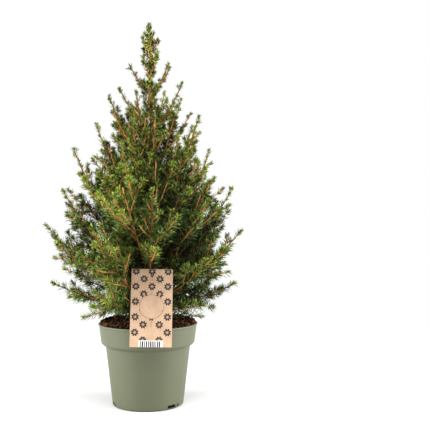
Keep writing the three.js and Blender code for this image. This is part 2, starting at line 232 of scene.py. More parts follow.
def finishPiece(bm, name, material, nodes=(), smooth=math.radians(40)):
    bmesh.ops.remove_doubles(bm, verts=bm.verts, dist=weld)
    bmesh.ops.recalc_face_normals(bm, faces=bm.faces)
    bmesh.ops.scale(bm, vec=(mm, mm, mm), verts=bm.verts)
    mesh = bpy.data.meshes.new(name)
    bm.to_mesh(mesh)
    bm.free()
    mesh.shade_smooth()
    mesh.set_sharp_from_angle(angle=smooth)
    return placePiece(mesh, name, material, nodes)


def arrayPiece(name, corners, faces, material, nodes=(), smooth=False):
    mesh = bpy.data.meshes.new(name)
    mesh.vertices.add(len(corners))
    mesh.vertices.foreach_set("co", (corners * mm).astype(np.float32).ravel())
    mesh.loops.add(faces.size)
    mesh.loops.foreach_set("vertex_index", faces.astype(np.int32).ravel())
    mesh.polygons.add(len(faces))
    mesh.polygons.foreach_set("loop_start", np.arange(0, faces.size, 3, dtype=np.int32))
    mesh.update(calc_edges=True)
    if smooth:
        mesh.shade_smooth()
    return placePiece(mesh, name, material, nodes)


# many small shapes joined from arrays: corners are n x k x 3, and faces the k corners' triangles
def joinedPiece(name, corners, triangles, material, nodes=()):
    count, perShape = corners.shape[:2]
    faces = (np.array(triangles)[None] + perShape * np.arange(count)[:, None, None]).reshape(-1, 3)
    return arrayPiece(name, corners.reshape(-1, 3), faces, material, nodes)


# the triangles of a closed tube of steps + 1 rings
def tubeFaces(steps, sides):
    faces = []
    for ring in range(steps):
        for side in range(sides):
            low, after = ring * sides + side, ring * sides + (side + 1) % sides
            faces += [(low, after, after + sides), (low, after + sides, low + sides)]
    last = steps * sides
    faces += [(0, side + 1, side) for side in range(1, sides - 1)]
    faces += [(last, last + side, last + side + 1) for side in range(1, sides - 1)]
    return faces


# pot

pot = {
    "height": 154, "lip": 94, "lipBead": 1.5, "lipDepth": 3.4, "lipRound": 0.8, "band": 36, "bandFoot": 88.6,
    "step": 6.5, "stepOut": 5, "stepTurn": 0.45, "bodyTop": 80.2, "foot": 67.4, "footRound": 4,
    "wall": 1.8, "floor": 2.6,
    "steps": 360,  # a degree each, so that the drain slots fall on whole steps
    "edgeRound": 0.5, "sharpTurn": 0.3,  # the radius of edges that turn by more than this, in radians
}
drain = {
    "groups": 3, "firstAzimuth": -50, "height": 5.5, "sill": 3, "sillInset": 0.2, "wide": 19, "narrow": 5,
    "apart": 16, "depth": 6,
}
potLook = {
    "shade": "#4c5039", "light": "#51553e", "roughness": (0.45, 0.57),
    "flowMark": 41.7, "grain": 1.43,  # the mould's grain of 0.2 mm is drawn coarser, to show
}

bandFoot = pot["height"] - pot["band"]
bodyTop = bandFoot - pot["step"]
lipFoot = pot["height"] - pot["lipDepth"]
midStep = bodyTop + pot["step"] * pot["stepTurn"]
slotTop = drain["sill"] + drain["height"]
bodySlope = (pot["bodyTop"] - pot["foot"]) / (bodyTop - pot["footRound"])
slotRadius = pot["foot"] + bodySlope * (slotTop - pot["footRound"])

# the rounded foot: how far in from its full radius, and at what height
footCurve = [
    (pot["footRound"], 0), (1.4, 0.9), (0.5, drain["sill"] - 1), (drain["sillInset"], drain["sill"]),
    (0, pot["footRound"]),
]
outerWall = [
    (0, 0), *((pot["foot"] - inset, height) for inset, height in footCurve),
    (slotRadius, slotTop), (pot["bodyTop"], bodyTop),
    (pot["bodyTop"] + pot["stepOut"], midStep), (pot["bandFoot"], bandFoot),
    (pot["lip"] - pot["lipBead"], lipFoot), (pot["lip"], lipFoot + pot["lipRound"]),
    (pot["lip"], pot["height"] - pot["lipRound"]), (pot["lip"] - pot["lipRound"], pot["height"]),
]
innerWall = [
    (pot["lip"] - pot["lipRound"] - pot["wall"], pot["height"]),
    (pot["lip"] - pot["lipBead"] - pot["wall"], lipFoot),
    (pot["bandFoot"] - pot["wall"], bandFoot + pot["wall"] / 2),
    (pot["bodyTop"] + pot["stepOut"] - pot["wall"], midStep + pot["wall"] / 2),
    (pot["bodyTop"] - pot["wall"], bodyTop), (slotRadius - pot["wall"], slotTop),
    (pot["foot"] - pot["wall"], pot["footRound"]),
    (pot["foot"] - pot["wall"] - drain["sillInset"], drain["sill"]),
    (pot["foot"] - pot["wall"] - pot["lipRound"], pot["floor"]), (0, pot["floor"]),
]


def spinProfile(bm, profile, steps):
    verts = [bm.verts.new((radius, 0, height)) for radius, height in profile]
    edges = [bm.edges.new(pair) for pair in zip(verts, verts[1:])]
    bmesh.ops.spin(bm, geom=verts + edges, cent=(0, 0, 0), axis=(0, 0, 1), angle=2 * math.pi, steps=steps,
                   use_merge=True)
    bmesh.ops.remove_doubles(bm, verts=bm.verts, dist=weld)


def azimuthOf(point):
    return math.degrees(math.atan2(point.y, point.x))


# the faces of both walls in a slot's window go, and its rim is bridged through the wall
def cutSlot(bm, azimuth, width):
    half = math.degrees(math.asin(width / 2 / pot["foot"]))
    window = []
    for face in bm.faces:
        middle = face.calc_center_median()
        off = (azimuthOf(middle) - azimuth + 180) % 360 - 180
        inWall = middle.xy.length > pot["foot"] - drain["depth"]
        if inWall and abs(off) < half and drain["sill"] < middle.z < slotTop:
            window.append(face)
    rims = {edge for face in window for edge in face.edges if sum(f in window for f in edge.link_faces) == 1}
    bmesh.ops.delete(bm, geom=window, context="FACES_ONLY")
    bmesh.ops.bridge_loops(bm, edges=list(rims))


# an edge that runs round the pot above its drain slots, where the wall turns
def isTurn(edge):
    a, b = edge.verts
    isRing = abs(a.co.z - b.co.z) < weld and a.co.z > slotTop + weld
    return isRing and len(edge.link_faces) == 2 and edge.calc_face_angle(0) > pot["sharpTurn"]


def makePot():
    bm = bmesh.new()
    spinProfile(bm, outerWall + innerWall, pot["steps"])
    aside = math.degrees(math.asin(drain["apart"] / pot["foot"]))
    for group in range(drain["groups"]):
        azimuth = drain["firstAzimuth"] + group * 360 / drain["groups"]
        cutSlot(bm, azimuth, drain["wide"])
        cutSlot(bm, azimuth + aside, drain["narrow"])
    loose = [edge for edge in bm.edges if not edge.link_faces]
    bmesh.ops.delete(bm, geom=loose, context="EDGES")
    turns = [edge for edge in bm.edges if isTurn(edge)]
    bmesh.ops.bevel(bm, geom=turns, offset=pot["edgeRound"], segments=3, profile=0.5, affect="EDGES",
                    material=-1)
    finishPiece(bm, "pot_moulded", mouldedPlastic(), ["pot"])
    print("pot made")


# peat

soil = {
    "edge": 152.5, "crown": 160, "shoulder": 0.5, "lumps": 2.6, "seat": 13, "offWall": 0.5, "clear": 0.3,
    "rings": 26, "steps": 150, "roughHeight": 2.2, "roughWide": 6.5,
    # the lumps swell from the wall inwards, and die away round the seat under the trunk
    "lumpRise": 1.6, "seatFrom": 0.8, "seatFade": 4,
    # what is strewn on top: its reach as shares of the area, and the part of it that lies heaped by the wall
    "strewn": (0.03, 0.95), "byWall": 0.4, "alongWall": (0.9, 0.985), "heap": 4.5,
    "crumbs": 2100, "crumbSize": (1.4, 4.2), "crumbFlat": (0.4, 1), "crumbUneven": (0.7, 1.25),
    "crumbSmaller": 0.25,  # by how much the crumbs of each further tone are smaller
    "fibres": 420, "fibreLength": (5, 15), "fibreThick": 0.55, "fibreFlat": 0.25, "fibreLift": 0.7, "seed": 7,
}
peatLook = {
    # where the painted shade in the peat is full and where it ends, in millimetres
    "crumb": 3.03, "patch": 16.7, "paintedShadeFullBelow": 30, "paintedShadeNoneAbove": 120,
    "stops": [(0.62, "#0c0603"), (0.86, "#190d07"), (1.0, "#452513")],
    "crumbTones": [("dark", "#100905"), ("red", "#3a1e0c"), ("tan", "#573519")], "fibre": "#8a5a38",
}


# how much the peat's top stands above its even mound, as in the source
def lump(x, y):
    humps = math.sin(x * 0.21 + 1.3) * math.cos(y * 0.17 - 0.4)
    swell = math.sin(x * 0.09 - y * 0.13)
    return soil["lumps"] * (humps + 0.6 * swell)


wallSlope = (pot["lip"] - pot["lipBead"] - pot["bandFoot"]) / (lipFoot - bandFoot)
soilEdge = pot["bandFoot"] - pot["wall"] - soil["offWall"] + wallSlope * (soil["edge"] - bandFoot)


def soilHeight(x, y):
    share = min(1, max(0, (soilEdge - math.hypot(x, y)) / (soilEdge - soil["seat"])))
    mound = soil["edge"] + (soil["crown"] - soil["edge"]) * math.sin(share * math.pi / 2) ** soil["shoulder"]
    rise = math.sin(math.pi * min(1, share * soil["lumpRise"]) / 2)
    fade = 1 - max(0, share - soil["seatFrom"]) * soil["seatFade"]
    rough = noise.fractal(Vector((x, y, 0)) / soil["roughWide"], 0.9, 2.1, 3) * soil["roughHeight"]
    return mound + (lump(x, y) + rough) * (rise * fade)


def makeSoil():
    bm = bmesh.new()
    walls = [(radius - soil["clear"], height) for radius, height in reversed(innerWall[2:9])]
    walls[0] = (walls[0][0], walls[0][1] + soil["clear"])
    rings = [(soilEdge * (1 - i / soil["rings"]), soil["edge"]) for i in range(soil["rings"] + 1)]
    spinProfile(bm, [(0, walls[0][1]), *walls, *rings], soil["steps"])
    for vert in bm.verts:
        if vert.co.z > bandFoot + pot["wall"]:
            vert.co.z = soilHeight(vert.co.x, vert.co.y)
    finishPiece(bm, "peat_bed", dampPeatWithPaintedShade(), ["soil"], math.radians(60))
    scatterOnSoil()
    print("peat made")


def scatterOnSoil():
    rng = np.random.default_rng(soil["seed"])

    def spots(count):
        radius = np.sqrt(rng.uniform(*soil["strewn"], count)) * soilEdge
        byWall = rng.uniform(0, 1, count) < soil["byWall"]
        radius = np.where(byWall, rng.uniform(*soil["alongWall"], count) * soilEdge, radius)
        azimuth = rng.uniform(0, 2 * math.pi, count)
        spot = np.stack([radius * np.cos(azimuth), radius * np.sin(azimuth)], 1)
        heights = [soilHeight(x, y) for x, y in spot] + byWall * rng.uniform(0, soil["heap"], count)
        return np.column_stack([spot, heights])

    def turns(count):
        axes = np.linalg.qr(rng.normal(size=(count, 3, 3)))[0]
        return axes * np.sign(np.linalg.det(axes))[:, None, None]

    # crumbs are uneven eight-sided lumps
    lumps = np.array([[1, 0, 0], [-1, 0, 0], [0, 1, 0], [0, -1, 0], [0, 0, 1], [0, 0, -1]], float)
    sides = [(0, 2, 4), (2, 1, 4), (1, 3, 4), (3, 0, 4), (2, 0, 5), (1, 2, 5), (3, 1, 5), (0, 3, 5)]
    for tone, (name, colour) in enumerate(peatLook["crumbTones"]):
        count = soil["crumbs"] // (1 + tone)
        size = rng.uniform(*soil["crumbSize"], (count, 1, 1)) * rng.uniform(*soil["crumbFlat"], (count, 1, 3))
        uneven = rng.uniform(*soil["crumbUneven"], (count, 6, 1))
        corners = lumps * size * uneven / (1 + soil["crumbSmaller"] * tone)
        corners = np.einsum("nij,nkj->nki", turns(count), corners) + spots(count)[:, None]
        material = plainMaterial("peat_crumb_" + name, colour, 0.95, 0.1)
        joinedPiece("peat_crumbs_" + name, corners, sides, material)

    # fibres are three-sided slivers with a kink
    count = soil["fibres"]
    way = np.array([-0.5, 0.1, 0.5])
    kink = np.array([0.0, 0.22, 0.0])
    length = rng.uniform(*soil["fibreLength"], count)
    flat = turns(count) * np.array([1, 1, soil["fibreFlat"]])[None, :, None]
    spine = way[None, :, None] * flat[:, None, :, 0] + kink[None, :, None] * flat[:, None, :, 1]
    spine = spine * length[:, None, None] + spots(count)[:, None] + up * soil["fibreLift"]
    thick = soil["fibreThick"] * np.array([0.3, 1.0, 0.2])
    spokes = np.stack([flat[:, :, 1] * math.cos(a) + up * math.sin(a) for a in (0.0, 2.1, 4.2)], 1)
    corners = (spine[:, :, None] + spokes[:, None] * thick[None, :, None, None]).reshape(count, 9, 3)
    material = plainMaterial("coir_fibre", peatLook["fibre"], 0.9, 0.1)
    joinedPiece("peat_fibres", corners, tubeFaces(2, 3), material)


# card label

card = {
    "width": 75, "height": 141, "thick": 0.8, "corner": 1.6, "leanBack": 16, "tilt": 1.35, "middle": 4.9,
    "belowLip": 30.5, "hole": 2.2, "holeBelowTop": 13,
}
cardLook = {
    "kraft": "#b79c82", "fibre": "#a5876d", "ink": "#120e14", "line": "#5f4234", "patch": "#e6e6ea",
    "bars": "#191a20",
    "fibreWide": 1.11, "cloud": 22.2,  # fibres of 0.1 mm are drawn coarser, to show
}
# eight-petalled stars, as on knitted mittens, in staggered rows, and the outline of a hanging ball
design = {
    "rowGap": 13.8, "firstRow": 4.6, "rows": 10, "starGap": 28.9,
    "middleRows": 6,  # no star stands in the middle of a row after this one, below the ball
    "petalFrom": 1.2, "petalShoulder": 5.1, "petalTo": 7.8, "petalWide": 1.95, "petalStub": 1.4,
    "petalTrim": 0.3,
    "ballRadius": 21.8, "ballBelowTop": 69, "ballSides": 96, "lineWide": 0.6,
    "hanger": 10, "hangerBelowTop": 12, "tail": (16, 2),  # lines above the ball and below it
    "inkThick": 0.06, "inkOff": 0.01, "patch": (42.5, 11.2), "patchClear": 1,
    "barWide": (1.1, 2.9), "barGap": (0.7, 1.6), "barInset": 1.6, "barHead": 0.7, "barSeed": 17,
    "margin": 0.5, "overlap": 0.6,  # how far a petal may run over the ball's line
}
cardTurn = (
    Matrix.Translation((card["middle"], -pot["lip"], pot["height"]))
    @ Matrix.Rotation(math.radians(90 - card["leanBack"]), 4, "X")
    @ Matrix.Rotation(math.radians(-card["tilt"]), 4, "Z")
)
cardLow, cardHigh = -card["belowLip"], card["height"] - card["belowLip"]
hole = (0, cardHigh - card["holeBelowTop"])
ball = (0, cardHigh - design["ballBelowTop"])
patchHalf, patchHead = design["patch"][0] / 2, cardLow + design["patch"][1]


# flat faces made solid along z
def thicken(bm, faces, thickness):
    raised = bmesh.ops.extrude_face_region(bm, geom=faces)["geom"]
    moved = [item for item in raised if isinstance(item, bmesh.types.BMVert)]
    bmesh.ops.translate(bm, vec=(0, 0, thickness), verts=moved)


def makeCard():
    bm = bmesh.new()
    bmesh.ops.create_grid(bm, x_segments=1, y_segments=1, size=0.5)
    bmesh.ops.scale(bm, vec=(card["width"], card["height"], 1), verts=bm.verts)
    bmesh.ops.translate(bm, vec=(0, (cardLow + cardHigh) / 2, 0), verts=bm.verts)
    bmesh.ops.bevel(bm, geom=bm.verts[:], offset=card["corner"], segments=6, profile=0.5, affect="VERTICES",
                    material=-1)
    bmesh.ops.delete(bm, geom=bm.faces[:], context="FACES_ONLY")
    bmesh.ops.create_circle(bm, segments=28, radius=card["hole"], matrix=Matrix.Translation((*hole, 0)))
    bmesh.ops.triangle_fill(bm, edges=bm.edges[:], use_beauty=True, normal=(0, 0, 1))
    thicken(bm, bm.faces[:], card["thick"])
    bmesh.ops.transform(bm, matrix=cardTurn, verts=bm.verts)
    finishPiece(bm, "label_kraft", kraftCard(), ["label_card"], math.radians(30))
    patch = boxShape(-patchHalf, patchHalf, cardLow, patchHead)
    printPiece("label_stars", "printing_ink", cardLook["ink"], starShapes())
    printPiece("label_lines", "printed_line", cardLook["line"], lineShapes())
    printPiece("label_patch", "white_ink", cardLook["patch"], [patch])
    printPiece("label_bars", "bar_ink", cardLook["bars"], barShapes(), 1)
    print("label made")


# flat shapes on the card's front, each given by its corners, on top of the ink already there
def printPiece(name, ink, colour, shapes, layersBelow=0):
    bm = bmesh.new()
    low, high = cardLow + design["margin"], cardHigh - design["margin"]
    side = card["width"] / 2 - design["margin"]
    level = card["thick"] + design["inkOff"] + layersBelow * design["inkThick"]
    for shape in shapes:
        verts = [bm.verts.new((min(max(x, -side), side), min(max(y, low), high), level)) for x, y in shape]
        thicken(bm, [bm.faces.new(verts)], design["inkThick"])
    bmesh.ops.transform(bm, matrix=cardTurn, verts=bm.verts)
    finishPiece(bm, name, plainMaterial(ink, colour, 0.6))


def boxShape(left, right, foot, head):
    return [(left, foot), (right, foot), (right, head), (left, head)]


# a place on the card, turned clockwise from straight up round a centre
def around(centre, angle, radius):
    return centre[0] + radius * math.sin(angle), centre[1] + radius * math.cos(angle)


# on the card, off the ball, off the patch and off the hole
def isFree(point):
    offBall = math.dist(point, ball) > design["ballRadius"] - design["overlap"]
    offHole = math.dist(point, hole) > card["hole"] + design["margin"]
    offPatch = point[1] > patchHead or abs(point[0]) > patchHalf + design["patchClear"]
    return offBall and offPatch and offHole and abs(point[0]) < card["width"] / 2 - design["margin"]


# a petal's four corners, from where the card is free, or None where only a stub would be left
def petalShape(centre, angle):
    swing = design["petalWide"] / design["petalShoulder"]
    start = design["petalFrom"]
    while start < design["petalTo"] and not isFree(around(centre, angle, start)):
        start += design["petalTrim"]
    widest = max(design["petalShoulder"], start + design["petalTrim"])
    corners = [(angle, start), (angle - swing, widest), (angle, design["petalTo"]), (angle + swing, widest)]
    shape = [around(centre, turn, radius) for turn, radius in corners]
    if start < design["petalTo"] - design["petalStub"] and all(map(isFree, shape[1:])):
        return shape[::-1]
    return None


def starShapes():
    petals = []
    for row in range(design["rows"]):
        shift = (row % 2) / 2
        y = cardHigh - design["firstRow"] - row * design["rowGap"]
        for column in (-1, 0, 1):
            x = (column + shift) * design["starGap"]
            belowBall = column == 0 and not shift and row > design["middleRows"]
            if abs(x) <= card["width"] / 2 and not belowBall:
                petals += [petalShape((x, y), math.radians(22.5 + 45 * petal)) for petal in range(8)]
    return [petal for petal in petals if petal]


# the ball's outline, the line it hangs by and the one under it
def lineShapes():
    half, sides = design["lineWide"] / 2, design["ballSides"]
    inner, outer = design["ballRadius"] - half, design["ballRadius"] + half
    shapes = []
    for i in range(sides):
        a, b = (2 * math.pi * k / sides for k in (i, i + 1))
        corners = [(a, inner), (b, inner), (b, outer), (a, outer)]
        shapes.append([around(ball, angle, radius) for angle, radius in corners])
    below, above = ball[1] - design["ballRadius"], ball[1] + design["ballRadius"]
    star = above + design["hanger"]  # the line breaks off where a star stands
    stretches = [(above, star), (star + 2 * design["petalTo"], cardHigh - design["hangerBelowTop"]),
                 (below - design["tail"][0], below - design["tail"][1])]
    return shapes + [boxShape(-half, half, low, high) for low, high in stretches]


# plain bars of no meaning
def barShapes():
    draw = seededDraws(design["barSeed"])
    x = -patchHalf + design["barInset"]
    bars = []
    while x < patchHalf - design["barInset"] - design["barWide"][1]:
        right = x + between(draw, *design["barWide"])
        bars.append(boxShape(x, right, cardLow + design["margin"], patchHead - design["barHead"]))
        x = right + between(draw, *design["barGap"])
    return bars


# growth: the source's rule, written again

trunk = {
    "top": 610, "footRadius": 7.6, "flare": 4.2, "flareHeight": 16, "topRadius": 2.1, "taper": 0.85,
    "bow": 6.5, "bowPeak": 0.58, "bowSharp": 1.5,
    "sunk": 4, "sides": 44, "steps": 420, "closerLow": 1.2,  # more rings low down
    "flutes": 5, "fluteDepth": 0.05, "fluteHeight": 30,
    "collar": 1.1, "collarWide": 4.5, "collarLift": 1.5, "collarReach": 14,
    "relief": 0.75, "flake": 4.2, "stretch": 2.2, "colours": ("#5a3c26", "#8c6747", "#b8926c"),
}
leader = {"tip": 722, "tipX": 1, "twigShare": 0.5, "firstTwig": 8, "seed": 99}
tierFields = ("name", "foot", "count", "reach", "climb", "turn", "step", "bare", "radius", "twigShare")
tiers = [
    ("a", 172, 5, 172, 54, 0, 60, 0.25, 2.9, 0.9),
    ("b", 188, 5, 185, 148, -18, 64.5, 0.2, 3.2, 0.8),
    ("c", 208, 4, 168, 204, 6, 88, 0.2, 3.1, 0.75),
    ("front", 234, 1, 88, 245, -50, 0, 0.2, 2.9, 0.5),
    ("d", 240, 4, 147, 248, 37, 72, 0.18, 3, 0.65),
    ("e", 335, 5, 106, 206, -32, 71, 0, 2.4, 0.55),
    ("f", 425, 4, 81, 158, 44, 68, 0, 2.1, 0.5),
    ("g", 515, 4, 64, 90, -34, 98, 0, 1.8, 0.5),
    ("h", 582, 3, 40, 57, 35, 145, 0, 1.4, 0.5),
]
growth = {
    "bendOut": 0.6, "bendUp": 0.4, "unevenReach": 0.06, "unevenTurn": 5, "unevenFoot": 6,
    "firstTwig": 7, "firstTwigAtTrunk": 16, "twigGap": 19, "twigLongest": 96, "twigUneven": (0.8, 1.15),
    "twigShortest": 16, "leastTwig": 1.2, "freeTip": 40, "whip": 32, "twigLean": 42, "twigFlat": 0.72,
    "twigLift": 0.1, "twigDraw": 0.12, "twigTurn": 137.5, "twigChecks": 12,
}
# carried on to finer twigs, between the source's twigs and on them
finer = {
    "betweenLongest": 120, "betweenLeast": 10, "betweenFirst": 6, "betweenUneven": (0.5, 1.0),
    "whip": 46,  # the stretch behind a bough's tip that stays a single shoot
    "offshootGap": 27, "offshootFirst": 8, "offshootWhip": 24, "offshootUneven": (0.55, 1.0),
    "offshootFoot": 0.85, "offshootStray": (0.7, 1.3),
    "leaderGap": 6.5, "leaderShare": 0.32, "leaderTwig": 4.5, "leaderFreeTip": 12, "leaderUneven": (0.75, 1.25),
    "spurGap": 13, "spurFirst": 3, "spurFreeTip": 5, "spurLength": (3.4, 8.5), "spurStray": (0.6, 1.4),
    "twigTip": 0.82, "spurTip": 0.4,
}
# the trunk is leafy above this height, with so many rounds of spurs, and twigs as if it were this much longer
leafy = {"from": 552, "spurRounds": 3, "beyond": 16, "seed": 301}
# lesser boughs between the tiers
lesser = {
    "count": 108, "from": 166, "to": 606, "closerLow": 1.3, "seed": 501,
    "reach": [(166, 130), (200, 140), (300, 92), (380, 54), (440, 30), (520, 20), (606, 13)],
    # how far they climb, as a share of their reach
    "climb": [(166, -0.02), (173, 0.12), (187, 0.6), (230, 1.5), (330, 1.9), (440, 1.4), (606, 1.2)],
    "reachUneven": (0.5, 1.1), "climbUneven": (0.75, 1.2), "checks": (0.4, 0.7, 1.0),
    # those that reach further than this have side twigs: the radius at the foot, and orders of offshoots
    "twiggedFrom": 45, "twigged": (1.65, 2), "plain": (0.99, 0),
    # above this height the trunk shows between them, this many degrees to each side of its front
    "bareFrom": 420, "bareSide": 78,
}
room = {"otherMasses": 2.4, "finer": -16, "trunk": 1.6, "soil": 5, "lesserOverSoil": -1.5, "card": 4.5}
# side twigs: how they lean off their stem, the shortest that counts, how much nearer to their own mass's line
# they stay than to any other, their radius at the foot, and how many orders of offshoots they bear
twigKinds = {
    "main": {"lean": growth["twigLean"], "shortest": growth["twigShortest"], "apart": room["otherMasses"],
             "foot": 1.265, "orders": 1},
    "between": {"lean": 23, "shortest": 9, "apart": room["finer"], "foot": 1.045, "orders": 1},
    "leader": {"lean": 34, "shortest": 6, "apart": room["finer"], "foot": 0.88, "orders": 0},
    "spur": {"lean": 44, "shortest": 3, "apart": 0, "foot": 0.55},
}


def unit(vectors):
    return vectors / np.maximum(np.linalg.norm(vectors, axis=-1, keepdims=True), 1e-9)


# a value read between the table's pairs of (place, value)
def lookUp(table, place):
    return np.interp(place, *zip(*table))


def trunkX(height):
    share = (height - soil["crown"]) / (leader["tip"] - soil["crown"])
    bow = math.sin(math.pi / 2 * min(2, share / trunk["bowPeak"]))
    return leader["tipX"] * share + trunk["bow"] * max(0, bow) ** trunk["bowSharp"]


def trunkPoint(height):
    return np.array([trunkX(height), 0.0, height])


def trunkRadius(height):
    share = np.clip((height - soil["crown"]) / (trunk["top"] - soil["crown"]), 0, 1)
    flare = trunk["flare"] * np.exp(-(height - soil["crown"]) / trunk["flareHeight"])
    return trunk["footRadius"] + (trunk["topRadius"] - trunk["footRadius"]) * share ** trunk["taper"] + flare


# a curve is its three control points, and t runs from 0 to 1 along it
def curveAt(curve, t):
    t = np.asarray(t, float)[..., None]
    return curve[0] * (1 - t) ** 2 + curve[1] * 2 * t * (1 - t) + curve[2] * t ** 2


def tangentAt(curve, t):
    t = np.asarray(t, float)[..., None]
    return unit((curve[1] - curve[0]) * (1 - t) + (curve[2] - curve[1]) * t)


fineSteps = np.linspace(0, 1, 41)


def stepLengths(curve):
    return np.linalg.norm(np.diff(curveAt(curve, fineSteps), axis=0), axis=1)


def curveLength(curve):
    return float(stepLengths(curve).sum())


# the t values at even shares of the curve's length
def evenSteps(curve, shares):
    ways = np.concatenate([[0], np.cumsum(stepLengths(curve))])
    return np.interp(np.asarray(shares) * ways[-1], ways, fineSteps)


def stretchOf(curve, low, high):
    def blossom(s, t):
        return curve[0] * (1 - s) * (1 - t) + curve[1] * (s * (1 - t) + t * (1 - s)) + curve[2] * s * t

    return np.array([blossom(low, low), blossom(low, high), blossom(high, high)])


# a bough leaves the trunk flat and turns up
def boughCurve(foot, azimuth, reach, climb):
    span = np.array([math.cos(azimuth), math.sin(azimuth), 0]) * reach
    rise = up * climb
    return np.array([foot, foot + span * growth["bendOut"] + rise * growth["bendUp"], foot + span + rise])


def planBough(tier, row, i):
    draw = seededDraws(row * 10 + i + 1)
    azimuth = math.radians(tier["turn"] + i * tier["step"] + between(draw, -1, 1) * growth["unevenTurn"])
    stretch = 1 + between(draw, -1, 1) * growth["unevenReach"]
    foot = trunkPoint(tier["foot"] + between(draw, -1, 1) * growth["unevenFoot"])
    curve = boughCurve(foot, azimuth, tier["reach"] * stretch, tier["climb"] * stretch)
    name = tier["name"] + (str(i + 1) if tier["count"] > 1 else "")
    return {**tier, "name": name, "curve": curve, "draw": draw, "azimuth": azimuth}


boughs = []
for row, values in enumerate(tiers):
    tier = dict(zip(tierFields, values))
    boughs += [planBough(tier, row, i) for i in range(tier["count"])]
leaderHeights = (trunk["top"], (trunk["top"] + leader["tip"]) / 2, leader["tip"])
leaderCurve = np.array([trunkPoint(height) for height in leaderHeights])

# each mass keeps to the space that lies nearer to its own line than to any other
ownLines = {"trunk": np.array([trunkPoint(h) for h in (160, 220, 300, 380, 460, 540, trunk["top"])])}
ownLines["leader"] = curveAt(leaderCurve, np.linspace(0, 1, 6))
for bough in boughs:
    ownLines[bough["name"]] = curveAt(bough["curve"], np.linspace(0, 1, 10))
lineNames = list(ownLines)
lineStarts = np.cumsum([0] + [len(line) - 1 for line in ownLines.values()])[:-1]
segmentFrom = np.concatenate([line[:-1] for line in ownLines.values()])
segmentSpan = np.concatenate([np.diff(line, axis=0) for line in ownLines.values()])
segmentSquare = (segmentSpan ** 2).sum(1)
cardTurnBack = np.array(cardTurn.inverted())


# each point's distance to each line
def distancesToLines(points):
    gap = points[:, None] - segmentFrom
    along = np.clip((gap * segmentSpan).sum(2) / segmentSquare, 0, 1)
    distance = np.linalg.norm(gap - along[..., None] * segmentSpan, axis=2)
    return np.minimum.reduceat(distance, lineStarts, axis=1)


# which points are clear of peat, card and trunk, and of the space of masses other than the named one
def hasRoom(points, name, apart):
    points = np.atleast_2d(points)
    onCard = points @ cardTurnBack[:3, :3].T + cardTurnBack[:3, 3]
    free = points[:, 2] > soil["crown"] + room["soil" if name else "lesserOverSoil"]
    free &= ((abs(onCard[:, 0]) > card["width"] / 2 + room["card"]) | (onCard[:, 1] > cardHigh + room["card"])
             | (onCard[:, 2] < -room["card"]))
    distances = distancesToLines(points)
    if name != "trunk":
        free &= distances[:, 0] > trunkRadius(points[:, 2]) + room["trunk"]
    if name:
        own = lineNames.index(name)
        others = np.delete(distances, own, axis=1).min(1)
        free &= others > distances[:, own] + apart
    return free


# a side twig, cut short where it would leave its mass's space, or None where it would be a stub
def sideTwig(kind, stem, share, roll, length, name):
    t = evenSteps(stem, share)
    start, along = curveAt(stem, t), tangentAt(stem, t)
    level = np.cross(along, up)
    side = unit(level) if (level ** 2).sum() > 0.01 else np.array([1.0, 0, 0])
    over = np.cross(side, along)
    aside = unit(side * math.cos(roll) + over * math.sin(roll) * growth["twigFlat"])
    lean = math.radians(twigKinds[kind]["lean"])
    heading = aside * math.sin(lean) + along * math.cos(lean)
    tip = start + heading * length + along * length * growth["twigDraw"] + up * length * growth["twigLift"]
    whole = np.array([start, start + heading * length / 2, tip])
    # the first stretch always counts as free, because it lies at the stem
    checks = growth["twigChecks"]
    clear = hasRoom(curveAt(whole, np.arange(2, checks + 1) / checks), name, twigKinds[kind]["apart"])
    free = 1 + (len(clear) if clear.all() else int(np.argmin(clear)))
    if free / checks * length < twigKinds[kind]["shortest"]:
        return None
    return stretchOf(whole, 0, free / checks)


# shoots: stems of level 0, twigs of 1 and spurs of 2, which bark and needles are then made on

shoots = []


def addShoot(curve, level, foot, tip, mass, tone):
    shoots.append({"curve": curve, "level": level, "foot": foot, "tip": tip, "mass": mass, "tone": tone,
                   "length": curveLength(curve)})
    return shoots[-1]


# short spurs stand along a stem, each with its own tuft
def addSpurs(stem, mass, draw):
    length = stem["length"]
    name = "trunk" if mass == "trunk" else None
    roll = draw() * 2 * math.pi
    way = between(draw, finer["spurFirst"], finer["spurGap"])
    while way < length - finer["spurFreeTip"]:
        roll += math.radians(growth["twigTurn"])
        wanted = between(draw, *finer["spurLength"])
        spur = sideTwig("spur", stem["curve"], way / length, roll, wanted, name)
        if spur is not None:
            addShoot(spur, 2, twigKinds["spur"]["foot"], finer["spurTip"], mass, stem["tone"])
        way += finer["spurGap"] * between(draw, *finer["spurStray"])


# a twig with its spurs, and with offshoots where it still has an order to give
def growTwig(curve, foot, mass, draw, orders):
    twig = addShoot(curve, 1, foot, finer["twigTip"], mass, between(draw, -1, 1))
    addSpurs(twig, mass, draw)
    way = between(draw, finer["offshootFirst"], finer["offshootGap"])
    while orders and way < twig["length"] - finer["offshootWhip"] - twigKinds["between"]["shortest"]:
        wanted = (twig["length"] - way - finer["offshootWhip"]) * between(draw, *finer["offshootUneven"])
        roll = draw() * 2 * math.pi
        offshoot = sideTwig("between", curve, way / twig["length"], roll, wanted, mass)
        if offshoot is not None:
            growTwig(offshoot, foot * finer["offshootFoot"], mass, draw, orders - 1)
        way += finer["offshootGap"] * between(draw, *finer["offshootStray"])


# a side twig with all that it bears, where there is room for it
def growSideTwig(kind, stem, share, roll, length, mass, draw):
    twig = sideTwig(kind, stem, share, roll, length, mass)
    if twig is not None:
        growTwig(twig, twigKinds[kind]["foot"], mass, draw, twigKinds[kind]["orders"])


